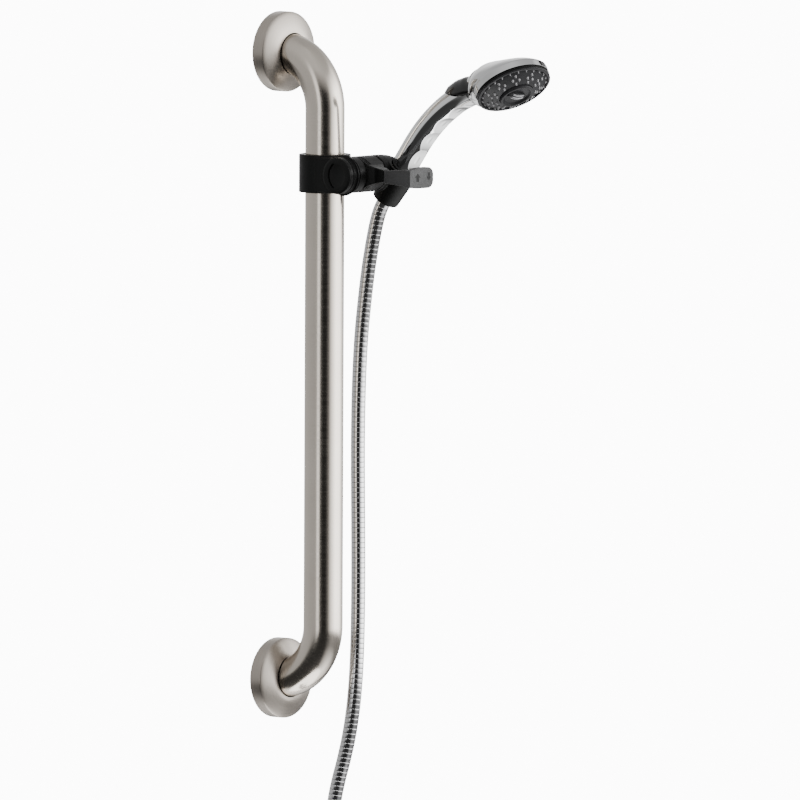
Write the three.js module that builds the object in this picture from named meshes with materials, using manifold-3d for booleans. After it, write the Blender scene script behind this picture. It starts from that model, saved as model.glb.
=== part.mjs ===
// A wall-mounted hand-shower set: a grab bar, a sliding holder with a release lever, and a
// chromed handset on a metal hose whose unused length is folded into a hank.
// Millimetres, +Z up. The origin is the centre of the upper wall plate's back face, the wall is
// the plane Y = 0, and the set stands out of it towards -Y.
import * as THREE from "three";
import { mergeVertices } from "three/addons/utils/BufferGeometryUtils.js";
import Module from "manifold-3d";

const wasm = await Module();
wasm.setup();

// ---- Driving dimensions ----
const GAP = 0.3; // between pieces that touch
const BAR = { radius: 19.05, wall: 1.25, span: 609.6, standoff: 60.3, bend: 54, sides: 28 };
const PLATE = { radius: 34, thick: 3, holes: 3, holeRadius: 2.75, holeCircle: 27 };
const COVER = { radius: 39, wall: 1.2, rim: 12, depth: 20, hole: 20.5, drop: 1.7 };
const LINER = { inner: 19.35, outer: 20.8, height: 36, split: 3 };
const COLLAR = { inner: 21.1, outer: 25.2, height: 37, chamfer: 1.5, z: -115.5 };
const BARREL = { radius: 17.75, y: -96.8, left: -25.6, wallLeft: -4, right: 0.2, pocket: 14.2 };
const CAP = { thick: 1.8, spigot: 13.8, depth: 5 };
const SHOE = { x: -15, radius: 5.2, tip: -81.9, tail: -90 };
const BOLT = { radius: 5, head: 8, headFrom: -8, end: 36.5 };
const LEVER = {
  from: 0.5, to: 26.2, core: 10.5, back: 5, armY: -130, armLow: 5, armHigh: 15, armTall: 12,
  bendY: -161, padTall: 20, padTo: 41, padThick: 6,
};
const HUB = { from: 28.5, to: 66, round: 41 };
const CUP = { x: 50, y: -95, z: -142, lean: 36, height: 40, wall: 3.2, low: 10.2, high: 13.3, slot: 15 };
const NUT = { from: 3, to: 34, low: 9.6, high: 12.4, bore: 8, thread: 10.75, shoulder: 14 };
const HANDLE = {
  spin: -10, radius: 13, bore: 10.6, from: 34.3, cone: 48, straight: 65, bend: 160, seam: 36,
};
const HEAD = { y: -74.8, z: 196.2, tilt: 107, radius: 37.8, wall: 2.4, rim: 4, side: 11.5 };
const FACE = { radius: 37.2, front: 4, mat: 30.6, apex: 12.2, fall: 0.0082, selector: 17, nozzle: 1.2 };
const BUTTON = { from: 26.5, to: 35.2, inner: 10.9, outer: 14.8, reach: 82, window: 94 };
const HOSE = { radius: 7, length: 1600, sides: 10 };
const HANK = { x: 8, fold: 42, top: -787, front: -29.9, back: -15.6 };
const FAR_NUT = { length: 26, low: 12.5, high: 9.8, bore: 8, thread: 10.75 };

// The hose from the handset's sleeve to the hank, as points (Y, Z) in the plane X = CUP.x.
const HOSE_ROUTE = [
  [-93.5, -144.0], [-90.2, -149.0], [-87.5, -154.4], [-85.3, -160.0], [-81.9, -171.5],
  [-78.2, -187.0], [-73.4, -211.0], [-68.6, -243.0], [-64.8, -275.0], [-62.5, -308.0],
  [-61.2, -345.0], [-60.8, -385.0], [-61.1, -425.0], [-61.6, -465.0], [-61.9, -505.0],
  [-61.7, -545.0], [-60.9, -580.0], [-59.1, -612.0], [-55.8, -641.0], [-50.6, -668.0],
  [-43.9, -692.0], [-37.4, -712.0], [-32.6, -731.0], [-29.9, -752.4],
];

const rad = THREE.MathUtils.degToRad;
const V2 = (x, y) => new THREE.Vector2(x, y);
const V3 = (x, y, z) => new THREE.Vector3(x, y, z);

// ---- Materials ----
const material = (color, roughness, metalness) =>
  new THREE.MeshStandardMaterial({ color, roughness, metalness });
const NICKEL = material(0x9b948b, 0.38, 1);
const CHROME = material(0xd8dadc, 0.08, 1);
const BLACK = material(0x222222, 0.45, 0);
const GREY = material(0x707070, 0.5, 0);
const FACE_GREY = material(0x565658, 0.4, 0);
const NOZZLE_GREY = material(0x9a9a9c, 0.6, 0);
const STEEL = material(0xb4b4b0, 0.3, 1);
const BRASS = material(0xb08d4a, 0.3, 1);
const WHITE = material(0xd8d8d4, 0.5, 0);
const RUBBER = material(0x1a1a1a, 0.8, 0);

// ---- Shape helpers ----

// A closed geometry as a manifold-3d solid whose faces point outwards.
function solid(geometry) {
  const bare = geometry.clone();
  bare.deleteAttribute("normal");
  bare.deleteAttribute("uv");
  const merged = mergeVertices(bare, 1e-4);
  const at = merged.attributes.position;
  const triVerts = new Uint32Array(merged.index.array);
  const [a, b, c] = [V3(), V3(), V3()];
  let volume = 0;
  for (let i = 0; i < triVerts.length; i += 3) {
    a.fromBufferAttribute(at, triVerts[i]);
    b.fromBufferAttribute(at, triVerts[i + 1]);
    c.fromBufferAttribute(at, triVerts[i + 2]);
    volume += a.dot(b.cross(c));
  }
  if (volume < 0) {
    for (let i = 0; i < triVerts.length; i += 3) {
      [triVerts[i + 1], triVerts[i + 2]] = [triVerts[i + 2], triVerts[i + 1]];
    }
  }
  return new wasm.Manifold(new wasm.Mesh({ numProp: 3, vertProperties: at.array, triVerts }));
}

// A solid's surface as a three.js geometry.
function surface(body) {
  const { vertProperties, triVerts } = body.getMesh();
  const geometry = new THREE.BufferGeometry();
  geometry.setAttribute("position", new THREE.BufferAttribute(vertProperties, 3));
  geometry.setIndex(new THREE.BufferAttribute(triVerts, 1));
  geometry.computeVertexNormals();
  return geometry;
}

// Adds a named mesh made of a solid to a group.
function add(group, name, body, look) {
  const mesh = new THREE.Mesh(surface(body), look);
  mesh.name = name;
  group.add(mesh);
}

// A body turned about Z from points (radius, height).
function turned(points, sides = 24) {
  const profile = points.map(([r, z]) => V2(r, z));
  const first = profile[0];
  const last = profile[profile.length - 1];
  if (first.x > 0 || last.x > 0) profile.push(first.clone());
  return new THREE.LatheGeometry(profile, sides).rotateX(Math.PI / 2);
}

// A tube or ring about Z between two heights.
const ring = (inner, outer, low, high, sides = 24) =>
  turned([[inner, low], [outer, low], [outer, high], [inner, high]], sides);

// A cylinder about Z between two heights.
const rod = (radius, low, high, sides = 24) =>
  new THREE.CylinderGeometry(radius, radius, high - low, sides)
    .rotateX(Math.PI / 2)
    .translate(0, 0, (low + high) / 2);

// A box from its lowest to its highest corner.
const block = (low, high) =>
  new THREE.BoxGeometry(high[0] - low[0], high[1] - low[1], high[2] - low[2]).translate(
    (low[0] + high[0]) / 2, (low[1] + high[1]) / 2, (low[2] + high[2]) / 2,
  );

// Turns a shape made about Z so that its axis is X, its far end at high X, on the barrel's axis.
const onBarrel = (geometry) => geometry.rotateY(Math.PI / 2).translate(0, BARREL.y, COLLAR.z);

// An outline in the (Y, Z) plane, extruded along X from X = 0.
const acrossX = (shape, depth) =>
  new THREE.ExtrudeGeometry(shape, { depth, bevelEnabled: false }).applyMatrix4(
    new THREE.Matrix4().makeBasis(V3(0, 1, 0), V3(0, 0, 1), V3(1, 0, 0)),
  );

// Points of a circle or of part of one, in degrees.
function arc(x, y, radius, from, to, count) {
  return Array.from({ length: count + 1 }, (_, i) => {
    const angle = rad(from + ((to - from) * i) / count);
    return V2(x + radius * Math.cos(angle), y + radius * Math.sin(angle));
  });
}

// A full circle as an outline.
const circle = (radius, sides) => new THREE.Shape(arc(0, 0, radius, 0, 360, sides).slice(0, -1));

// A curve through given points, one extrusion step for each stretch between them.
class Route extends THREE.Curve {
  constructor(points) {
    super();
    this.points = points;
  }
  getPoint(t) {
    const at = THREE.MathUtils.clamp(t, 0, 1) * (this.points.length - 1);
    const i = Math.min(Math.floor(at), this.points.length - 2);
    return this.points[i].clone().lerp(this.points[i + 1], at - i);
  }
  getUtoTmapping(u) {
    return u;
  }
}

// A section carried along points in space.
const swept = (shape, points) =>
  new THREE.ExtrudeGeometry(shape, {
    steps: points.length - 1,
    extrudePath: new Route(points),
    curveSegments: 1,
  });

// A body through rings in the head's frame, each as [near, far, half width] (see handle()).
function lofted(rings, sides) {
  const count = rings.length - 1;
  const body = new THREE.CylinderGeometry(1, 1, count, sides, count);
  const at = body.attributes.position;
  for (let i = 0; i < at.count; i++) {
    const [near, far, half] = rings[Math.round(count / 2 - at.getY(i))];
    const share = (1 - at.getZ(i)) / 2;
    const towards = near[0] + (far[0] - near[0]) * share;
    const behind = near[1] + (far[1] - near[1]) * share;
    at.setXYZ(i, half * at.getX(i), -towards, -behind);
  }
  return body;
}

// ---- Bar, wall plates and covers ----
function bar(group) {
  const { radius, wall, span, standoff, bend, sides } = BAR;
  const leg = -(standoff - bend);
  const steps = 7;
  const high = Array.from({ length: steps + 1 }, (_, i) => {
    const a = rad((90 * i) / steps);
    return V3(0, leg - bend * Math.sin(a), -bend + bend * Math.cos(a));
  });
  const low = high.map((p) => V3(0, p.y, -span - p.z)).reverse();
  const start = V3(0, -PLATE.thick - GAP, 0);
  const end = V3(0, -PLATE.thick - GAP, -span);
  const section = circle(radius, sides);
  section.holes.push(new THREE.Path(arc(0, 0, radius - wall, 0, 360, 12).slice(0, -1)));
  add(group, "bar_tube", solid(swept(section, [start, ...high, ...low, end])), NICKEL);
}

// side is 1 for the upper end and -1 for the lower one, whose parts are the mirror image.
function wallEnd(group, word, z, side) {
  const plate = circle(PLATE.radius, 28);
  for (let i = 0; i < PLATE.holes; i++) {
    const a = rad(90 * side + (360 * i) / PLATE.holes);
    const [x, y] = [PLATE.holeCircle * Math.cos(a), PLATE.holeCircle * Math.sin(a)];
    plate.holes.push(new THREE.Path(arc(x, y, PLATE.holeRadius, 0, 360, 8).slice(0, -1)));
  }
  const disc = new THREE.ExtrudeGeometry(plate, { depth: PLATE.thick, bevelEnabled: false });
  add(group, "wall_plate_" + word, solid(disc.rotateX(Math.PI / 2).translate(0, 0, z)), STEEL);

  const { radius, wall, rim, depth, hole, drop } = COVER;
  const shell = turned([
    [radius - wall, GAP], [radius, GAP], [radius, rim], [radius - 1.5, rim + 1.4],
    [33, depth - 4], [28, depth - 1.7], [22, depth], [17, depth], [17, depth - wall],
    [21.5, depth - wall], [27, depth - 1.7 - wall], [32, depth - 4 - wall], [radius - wall, rim - 1],
  ], 30).rotateX(Math.PI / 2).translate(0, 0, z);
  const opening = rod(hole, 0, depth + 5, 30).rotateX(Math.PI / 2).translate(0, 0, z - side * drop);
  add(group, "flange_cover_" + word, solid(shell).subtract(solid(opening)), NICKEL);
}

// ---- Sliding holder ----
const onBar = (geometry) => geometry.translate(0, -BAR.standoff, COLLAR.z);

function slider(group) {
  const { inner, outer, height, split } = LINER;
  const liner = solid(onBar(ring(inner, outer, -height / 2, height / 2, 32)));
  const slit = block([-split / 2, -60, -200], [split / 2, -30, -50]);
  add(group, "slide_liner", liner.subtract(solid(slit)), WHITE);

  const { chamfer } = COLLAR;
  const top = COLLAR.height / 2;
  const collar = solid(onBar(turned([
    [COLLAR.inner, -top], [COLLAR.outer - chamfer, -top], [COLLAR.outer, -top + chamfer],
    [COLLAR.outer, top - chamfer], [COLLAR.outer - chamfer, top], [COLLAR.inner, top],
  ], 32)));
  const bore = solid(onBar(rod(COLLAR.inner, -60, 60, 32)));
  const left = BARREL.left + CAP.thick + GAP;
  const barrel = solid(onBarrel(rod(BARREL.radius, left, BARREL.right, 28)));
  const web = solid(block(
    [left, BARREL.y, COLLAR.z - BARREL.radius + 1], [-1, -BAR.standoff, COLLAR.z + BARREL.radius - 1],
  ));
  const pocket = solid(onBarrel(rod(BARREL.pocket, left - 5, BARREL.wallLeft, 20)));
  const boltHole = solid(onBarrel(rod(BOLT.radius + GAP, -10, 5, 20)));
  const shoeHole = solid(
    rod(SHOE.radius + GAP, 60, -BARREL.y, 16).rotateX(Math.PI / 2).translate(SHOE.x, 0, COLLAR.z),
  );
  add(group, "slider_body",
    collar.add(barrel).add(web).subtract(bore).subtract(pocket).subtract(boltHole)
      .subtract(shoeHole),
    BLACK);

  const cap = onBarrel(turned([
    [0, BARREL.left], [BARREL.radius - 1.2, BARREL.left], [BARREL.radius, BARREL.left + 1],
    [BARREL.radius, BARREL.left + CAP.thick], [CAP.spigot, BARREL.left + CAP.thick],
    [CAP.spigot, BARREL.left + CAP.depth], [CAP.spigot - 1.5, BARREL.left + CAP.depth],
    [CAP.spigot - 1.5, BARREL.left + CAP.thick], [0, BARREL.left + CAP.thick],
  ]));
  add(group, "slider_end_cap", solid(cap), BLACK);

  // The shoe's face is hollowed to the liner's curve.
  const shoe = solid(
    rod(SHOE.radius, -SHOE.tip - 8, -SHOE.tail, 16).rotateX(Math.PI / 2)
      .translate(SHOE.x, 0, COLLAR.z),
  );
  const clear = solid(onBar(rod(COLLAR.inner + 0.1, -60, 60, 32)));
  add(group, "brake_shoe", shoe.subtract(clear), RUBBER);
  const coil = ring(2.6, 4.4, -SHOE.tail + 1.3, 107.5, 16).rotateX(Math.PI / 2);
  add(group, "brake_spring", solid(coil.translate(SHOE.x, 0, COLLAR.z)), STEEL);

  const bolt = turned([
    [0, BOLT.headFrom], [BOLT.head, BOLT.headFrom], [BOLT.head, BARREL.wallLeft - GAP],
    [BOLT.radius, BARREL.wallLeft - GAP], [BOLT.radius, BOLT.end], [0, BOLT.end],
  ], 20);
  add(group, "pivot_bolt", solid(onBarrel(bolt)), STEEL);
  const washer = ring(BOLT.radius + GAP, 15.8, LEVER.to + GAP, HUB.from - GAP, 24);
  add(group, "tilt_washer", solid(onBarrel(washer)), RUBBER);
}

// ---- Release lever ----
function lever(group) {
  const { from, to, core, back, armY, armLow, armHigh, armTall, bendY, padTall, padTo } = LEVER;
  const z = COLLAR.z;
  const half = BARREL.radius;
  // The flared arm is where its plan, extruded upwards, meets its side view, extruded across.
  const plan = new THREE.Shape([
    V2(from, BARREL.y + 30), V2(to, BARREL.y + 30), V2(to, BARREL.y - half + 3),
    V2(armHigh + 3, armY + 9), V2(armHigh, armY), V2(armLow, armY), V2(armLow - 1, armY + 9),
    V2(from, BARREL.y - half + 3),
  ]);
  const side = new THREE.Shape([
    ...arc(BARREL.y, 0, half, 285, 240, 6).map((p) => V2(p.x, p.y)),
    V2(armY + 12, -armTall / 2 - 2), V2(armY, -armTall / 2),
    V2(armY, armTall / 2), V2(armY + 12, armTall / 2 + 2),
    ...arc(BARREL.y, 0, half, 120, 75, 6),
  ]);
  const upright = new THREE.ExtrudeGeometry(plan, { depth: 60, bevelEnabled: false });
  const arm = solid(upright.translate(0, 0, z - 30))
    .intersect(solid(acrossX(side, 60).translate(-15, 0, z)));
  const front = solid(block([0, -200, z - 30], [60, BARREL.y + back, z + 30]));
  const drum = solid(onBarrel(rod(core, from, to, 28)));
  const hole = solid(onBarrel(rod(BOLT.radius + GAP, from - 5, to + 5, 20)));
  const springSeat = solid(onBarrel(rod(9, from - 5, 9, 20)));
  add(group, "lever_yoke",
    arm.intersect(front).add(drum).subtract(hole).subtract(springSeat), BLACK);

  const rise = 1;
  const beam = new THREE.Shape([
    V2(armY - GAP, -armTall / 2 - rise), V2(bendY + 3, -padTall / 2 + 1),
    V2(bendY + 3, padTall / 2 - 2.5), V2(armY - GAP, armTall / 2 - rise),
  ]);
  const beamSolid = acrossX(beam, armHigh - armLow - 2).translate(armLow + 1, 0, z);
  const pad = new THREE.Shape([
    V2(armLow + 1, -padTall / 2 + 1), V2(armLow + 14, -padTall / 2),
    ...arc(padTo - 6, -padTall / 2 + 6, 6, 270, 360, 4),
    ...arc(padTo - 6, padTall / 2 - 6, 6, 0, 90, 4),
    V2(armLow + 14, padTall / 2), V2(armLow + 1, padTall / 2 - 2.5),
  ]);
  const padSolid = new THREE.ExtrudeGeometry(pad, { depth: LEVER.padThick, bevelEnabled: false })
    .rotateX(Math.PI / 2).translate(0, bendY + 3, z - rise);
  add(group, "lever_paddle", solid(beamSolid).add(solid(padSolid)), GREY);
  add(group, "lever_spring", solid(onBarrel(ring(5.9, 8.4, from + 0.4, 8.6, 20))), STEEL);
}

// ---- Cradle ----

// The cup's and the handset's own frame: +Z up the socket's axis, -Y to the front.
function socketFrame() {
  const frame = new THREE.Group();
  frame.position.set(CUP.x, CUP.y, CUP.z);
  frame.rotation.x = rad(CUP.lean);
  frame.updateMatrix();
  return frame;
}

function cradle(group) {
  const { low, high, wall, height, slot } = CUP;
  const { matrix } = socketFrame();
  const inSocket = (geometry) => solid(geometry.applyMatrix4(matrix));
  const hub = solid(onBarrel(turned([
    [0, HUB.from], [BARREL.radius, HUB.from], [BARREL.radius, HUB.round],
    [BARREL.radius - 1.2, HUB.round + 9], [BARREL.radius - 3.7, HUB.round + 17],
    [BARREL.radius - 8.5, HUB.to - 2], [BARREL.radius - 13, HUB.to], [0, HUB.to],
  ], 28)));
  const cup = inSocket(turned([
    [0, 0], [low + wall, 0], [high + wall, height], [0, height],
  ], 24));
  const cavity = inSocket(turned([
    [0, -30], [low, -30], [low, 0], [high, height], [high + 3, height + 40], [0, height + 40],
  ], 24));
  const gate = inSocket(block([0, -slot / 2, -40], [40, slot / 2, height + 40]));
  const insert = solid(onBarrel(rod(8 + GAP, HUB.from - 5, 37, 20)));
  add(group, "cradle", hub.add(cup).subtract(cavity).subtract(gate).subtract(insert), BLACK);
  add(group, "hub_insert", solid(onBarrel(ring(BOLT.radius + GAP, 8, HUB.from + GAP, 36.5, 20))),
    BRASS);
}

// ---- Handset ----

// A point on the handle's centre line at an angle along its bend, in the handset's frame.
const onSpine = (degrees, out = 0) => V3(
  0,
  -HANDLE.bend + (HANDLE.bend + out) * Math.cos(rad(degrees)),
  HANDLE.straight + (HANDLE.bend + out) * Math.sin(rad(degrees)),
);
const spine = (from, to, count) =>
  Array.from({ length: count + 1 }, (_, i) => onSpine(from + ((to - from) * i) / count));

// The matrix of the head's own frame: the origin at the middle of the spray face, +Z out of it.
const HEAD_MATRIX = new THREE.Matrix4()
  .makeTranslation(0, HEAD.y, HEAD.z)
  .multiply(new THREE.Matrix4().makeRotationX(rad(HEAD.tilt)));
const onHead = (geometry) => solid(geometry.applyMatrix4(HEAD_MATRIX));

function handle(group) {
  const { radius, bore, from, cone, straight, seam } = HANDLE;
  const lowEnd = solid(turned([
    [bore + GAP, from], [12.2, from], [12.6, 44], [radius, cone], [bore + GAP, cone],
  ]));
  const section = circle(radius, 24);
  section.holes.push(new THREE.Path(arc(0, 0, bore, 0, 360, 14).slice(0, -1)));
  const line = [V3(0, 0, cone - 0.5), V3(0, 0, straight - 5), ...spine(0, seam - 0.6, 7), onSpine(seam)];
  const tube = solid(swept(section, line));
  const cut = solid(swept(sector(BUTTON.inner - 4, 30, BUTTON.window),
    spine(BUTTON.from - 0.8, seam + 1, 4)));
  add(group, "handle_shell", lowEnd.add(tube).subtract(cut), CHROME);

  // The head's shell narrows from the rim of the face to the end of the handle.
  const { wall, rim, side } = HEAD;
  const r = HEAD.radius;
  const join = (out) => onSpine(seam + 0.25, out).applyMatrix4(HEAD_MATRIX.clone().invert());
  // Each ring of the shell: its point nearest the handle and its point furthest from it, both as
  // (towards the handle, behind the face), and half its width.
  const rings = [
    [[r, rim], [-r, rim], r],
    [[r, side - 2], [-r, side - 2], r],
    [[r + 0.6, side - 1], [-r + 1.8, side + 1], r - 0.6],
    [[r + 3.2, side - 1], [-27, side + 8], 36],
    [[r + 5.4, side - 0.9], [-9, side + 18], 33],
    [[r + 8, side - 0.5], [8, side + 27], 27],
    [[r + 10.5, side + 1.3], [24, side + 32.2], 15.5],
    [[r + 12.6, side + 5.1], [34.6, side + 35.1], 13.2],
    [[-join(-radius).y, -join(-radius).z], [-join(radius).y, -join(radius).z], radius],
  ];
  // The hollow's rings are smaller by the wall, and run past both of its open ends.
  const inner = rings.map(([near, far, half]) => {
    const share = 1 - wall / half;
    const mid = [(near[0] + far[0]) / 2, (near[1] + far[1]) / 2];
    const shrink = (p) => p.map((v, i) => mid[i] + (v - mid[i]) * share);
    return [shrink(near), shrink(far), half * share];
  });
  inner[0][0][1] -= 3;
  inner[0][1][1] -= 3;
  const last = inner[inner.length - 1];
  inner.push([[last[0][0] + 4, last[0][1] + 5], [last[1][0] + 4, last[1][1] + 5], last[2]]);
  add(group, "head_shell", onHead(lofted(rings, 28)).subtract(onHead(lofted(inner, 24))), CHROME);

  const pipe = circle(6.5, 12);
  pipe.holes.push(new THREE.Path(arc(0, 0, 5, 0, 360, 8).slice(0, -1)));
  add(group, "water_tube",
    solid(swept(pipe, [V3(0, 0, 47.3), V3(0, 0, straight), ...spine(6, 38, 6)])), WHITE);
  add(group, "inlet_nipple", solid(turned([
    [7, 18.9], [10.4, 18.9], [10.4, 47], [7, 47],
  ], 24)), BRASS);
  add(group, "check_valve", solid(ring(3, 6.6, 24, 36, 16)), WHITE);
  add(group, "flow_disc", solid(ring(1.5, 6.6, 38, 41, 16)), BLACK);
  add(group, "inlet_washer", solid(ring(6, 10.2, 16.6, 18.6, 20)), RUBBER);
  add(group, "hose_sleeve", solid(turned([
    [5.5, -2.2], [7.5, -2.2], [7.5, 14.3], [10.2, 14.3], [10.2, 16.3], [5.5, 16.3],
  ], 20)), CHROME);
}

// A part of a ring's section on the handle's back, as wide as an angle to each side. A section
// carried along the handle has its -Y towards the handle's back.
function sector(inner, outer, reach) {
  return new THREE.Shape([
    ...arc(0, 0, outer, -90 - reach, -90 + reach, 8),
    ...arc(0, 0, inner, -90 + reach, -90 - reach, 8),
  ]);
}

function pauseButton(group) {
  const { from, to, inner, outer, reach } = BUTTON;
  add(group, "pause_button", solid(swept(sector(inner, outer, reach), spine(from, to, 4))), BLACK);
  const middle = (from + to) / 2;
  const at = onSpine(middle);
  const turn = (geometry) =>
    solid(geometry.rotateX(-Math.PI / 2).rotateX(rad(middle)).translate(0, at.y, at.z));
  add(group, "pause_plunger", turn(rod(2.2, 8.2, inner - 2 * GAP, 12)), STEEL);
  add(group, "pause_spring", turn(ring(2.8, 3.9, 6.6, 8.5, 12)), STEEL);
}

function sprayFace(group) {
  // Heights here are from the rim of the head's shell.
  const onFace = (geometry) => onHead(geometry.translate(0, 0, -HEAD.rim));
  const { radius, front, flat, mat, selector, nozzle } = FACE;

  // The plate is a shallow dome inside a raised lip. A point on it or under it, by its radius.
  const dome = (r, under = 0) => [r, FACE.apex - FACE.fall * r * r - under];

  // Ten clusters of four nozzles.
  const spots = [];
  for (let i = 0; i < 10; i++) {
    const turn = rad(36 * i + 18);
    for (const [r, a] of [[20.4, 0.02], [24.2, -0.13], [25, 0.13], [28.8, 0]]) {
      spots.push([r * Math.cos(turn + a), r * Math.sin(turn + a), dome(r)[1]]);
    }
  }
  const edge = selector + GAP;
  const shell = turned([
    [mat + GAP, -2], [35, -2], [35, 2.4], [radius, 2.4], [radius, 3.1], [radius - 0.9, front],
    [34.2, front], dome(33), dome(30.5), dome(27), dome(22), dome(edge),
    dome(edge, 1.8), dome(22, 1.8), dome(27, 1.8), dome(mat + GAP, 1.8),
  ], 30);
  let plate = onFace(shell);
  for (const [x, y, z] of spots) {
    plate = plate.subtract(onFace(rod(nozzle + GAP, z - 4, z + 4, 6).translate(x, y, 0)));
  }
  add(group, "face_plate", plate, FACE_GREY);
  add(group, "bezel_ring", onFace(ring(35.3, 36.6, GAP, 2.4 - GAP, 30)), BLACK);

  const under = 1.8 + GAP + 0.1;
  let cushion = onFace(turned([
    dome(edge + 0.7, under + 1.7), dome(24, under + 1.7), dome(mat, under + 1.7),
    dome(mat, under), dome(27, under), dome(22, under), dome(edge + 0.7, under),
  ], 30));
  for (const [x, y, z] of spots) {
    cushion = cushion.add(onFace(rod(nozzle, z - under - 0.8, z + 2.6, 6).translate(x, y, 0)));
  }
  add(group, "nozzle_mat", cushion, NOZZLE_GREY);

  // The selector: a dished hub in the middle with a raised thumb tab across it.
  const hub = onFace(turned([
    [0, 7], [2.9, 7], [2.9, -3.5], [8, -3.5], [8, 5], [selector, 8], [selector, 11.6],
    [selector - 1, 12.5], [selector - 4, 12.3], [8, 9.6], [0, 9],
  ], 20));
  const tab = onFace(block([-10, -3.2, 8.5], [10, 3.2, 14.5]));
  add(group, "selector_hub", hub.add(tab), FACE_GREY);

  add(group, "centre_screw", onFace(turned([
    [0, -13], [4.2, -13], [4.2, -11.5], [2.5, -11.5], [2.5, 6.7], [0, 6.7],
  ], 16)), STEEL);
  add(group, "diverter_plate", onFace(ring(8.5, mat, -2.2, -0.1, 24)), WHITE);
  add(group, "face_seal", onFace(ring(31.2, 34.4, -4.5, -2.3, 24)), RUBBER);

  let wheel = onFace(ring(2.9, 6, -10, -6, 12));
  for (let i = 0; i < 6; i++) {
    wheel = wheel.add(onFace(block([5, -0.8, -10], [12, 0.8, -6]).rotateZ(rad(60 * i))));
  }
  add(group, "massage_wheel", wheel, WHITE);
}

function hoseNut(group) {
  const { from, to, low, high, bore, thread, shoulder } = NUT;
  add(group, "hose_nut", solid(turned([
    [bore, from], [low, from], [high, to], [thread, to], [thread, shoulder], [bore, shoulder],
  ], 24)), CHROME);
}

// ---- Hose ----
function hose(group) {
  const route = HOSE_ROUTE.map(([y, z]) => V3(CUP.x, y, z));
  add(group, "hose_tube", solid(swept(circle(HOSE.radius, HOSE.sides), route)), CHROME);

  // The hank's run is what the length that is left comes to, after its folds and its two ends.
  const { x, fold, top, front, back } = HANK;
  const outer = fold + HOSE.radius;
  const lead = Math.sqrt(outer ** 2 - (fold - HOSE.radius) ** 2) + GAP;
  const seen = route.slice(1).reduce((sum, p, i) => sum + p.distanceTo(route[i]), 0);
  const folds = Math.PI * fold + Math.hypot(Math.PI * fold, back - front);
  const run = (HOSE.length - seen - folds - 2 * lead) / 3;
  const bottom = top - run;

  const stadium = (r) => [
    ...arc(x, top, r, 0, 180, 14), ...arc(x, bottom, r, 180, 360, 14),
  ];
  const outline = new THREE.Shape(stadium(outer));
  outline.holes.push(new THREE.Path(stadium(fold - HOSE.radius)));
  const depth = back - front + 2 * HOSE.radius;
  const hank = new THREE.ExtrudeGeometry(outline, { depth, bevelEnabled: false })
    .rotateX(Math.PI / 2).translate(0, back + HOSE.radius, 0);
  add(group, "hose_hank", solid(hank), CHROME);

  // The tie goes round the two runs that lie together.
  const right = x + fold;
  const height = 12;
  const middle = (top + bottom) / 2;
  const band = (margin, tall) => block(
    [right - HOSE.radius - margin, front - HOSE.radius - margin, middle - tall / 2],
    [right + HOSE.radius + margin, back + HOSE.radius + margin, middle + tall / 2],
  );
  add(group, "hank_tie", solid(band(2, height)).subtract(solid(band(0.4, height + 2))), BLACK);

  const end = bottom - lead;
  const place = (geometry) => solid(geometry.translate(right, back, end));
  add(group, "far_sleeve", place(turned([
    [5.5, -GAP], [7.5, -GAP], [7.5, -18], [10.2, -18], [10.2, -20], [5.5, -20],
  ], 20)), CHROME);
  add(group, "far_washer", place(ring(6, 10.2, -22.4, -20.3, 20)), RUBBER);
  const { length, low, high, bore, thread } = FAR_NUT;
  const start = -4;
  add(group, "far_nut", place(turned([
    [bore, start], [high, start], [low, start - 18], [low, start - length],
    [thread, start - length], [thread, -17.7], [bore, -17.7],
  ], 24)), CHROME);
}

// ---- The whole set ----
const set = new THREE.Group();
bar(set);
wallEnd(set, "upper", 0, 1);
wallEnd(set, "lower", -BAR.span, -1);
slider(set);
lever(set);
cradle(set);

const handset = socketFrame();
const spun = new THREE.Group();
spun.rotation.z = rad(HANDLE.spin);
handset.add(spun);
handle(spun);
pauseButton(spun);
sprayFace(spun);
hoseNut(spun);
set.add(handset);
hose(set);

export default set;
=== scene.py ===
"""A wall-mounted hand-shower set: grab bar, sliding lever holder, chromed handset and metal hose.

Shapes are worked out in millimetres and made into meshes in metres.
"""
import math

import bmesh
import bpy
from mathutils import Matrix, Vector


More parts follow.
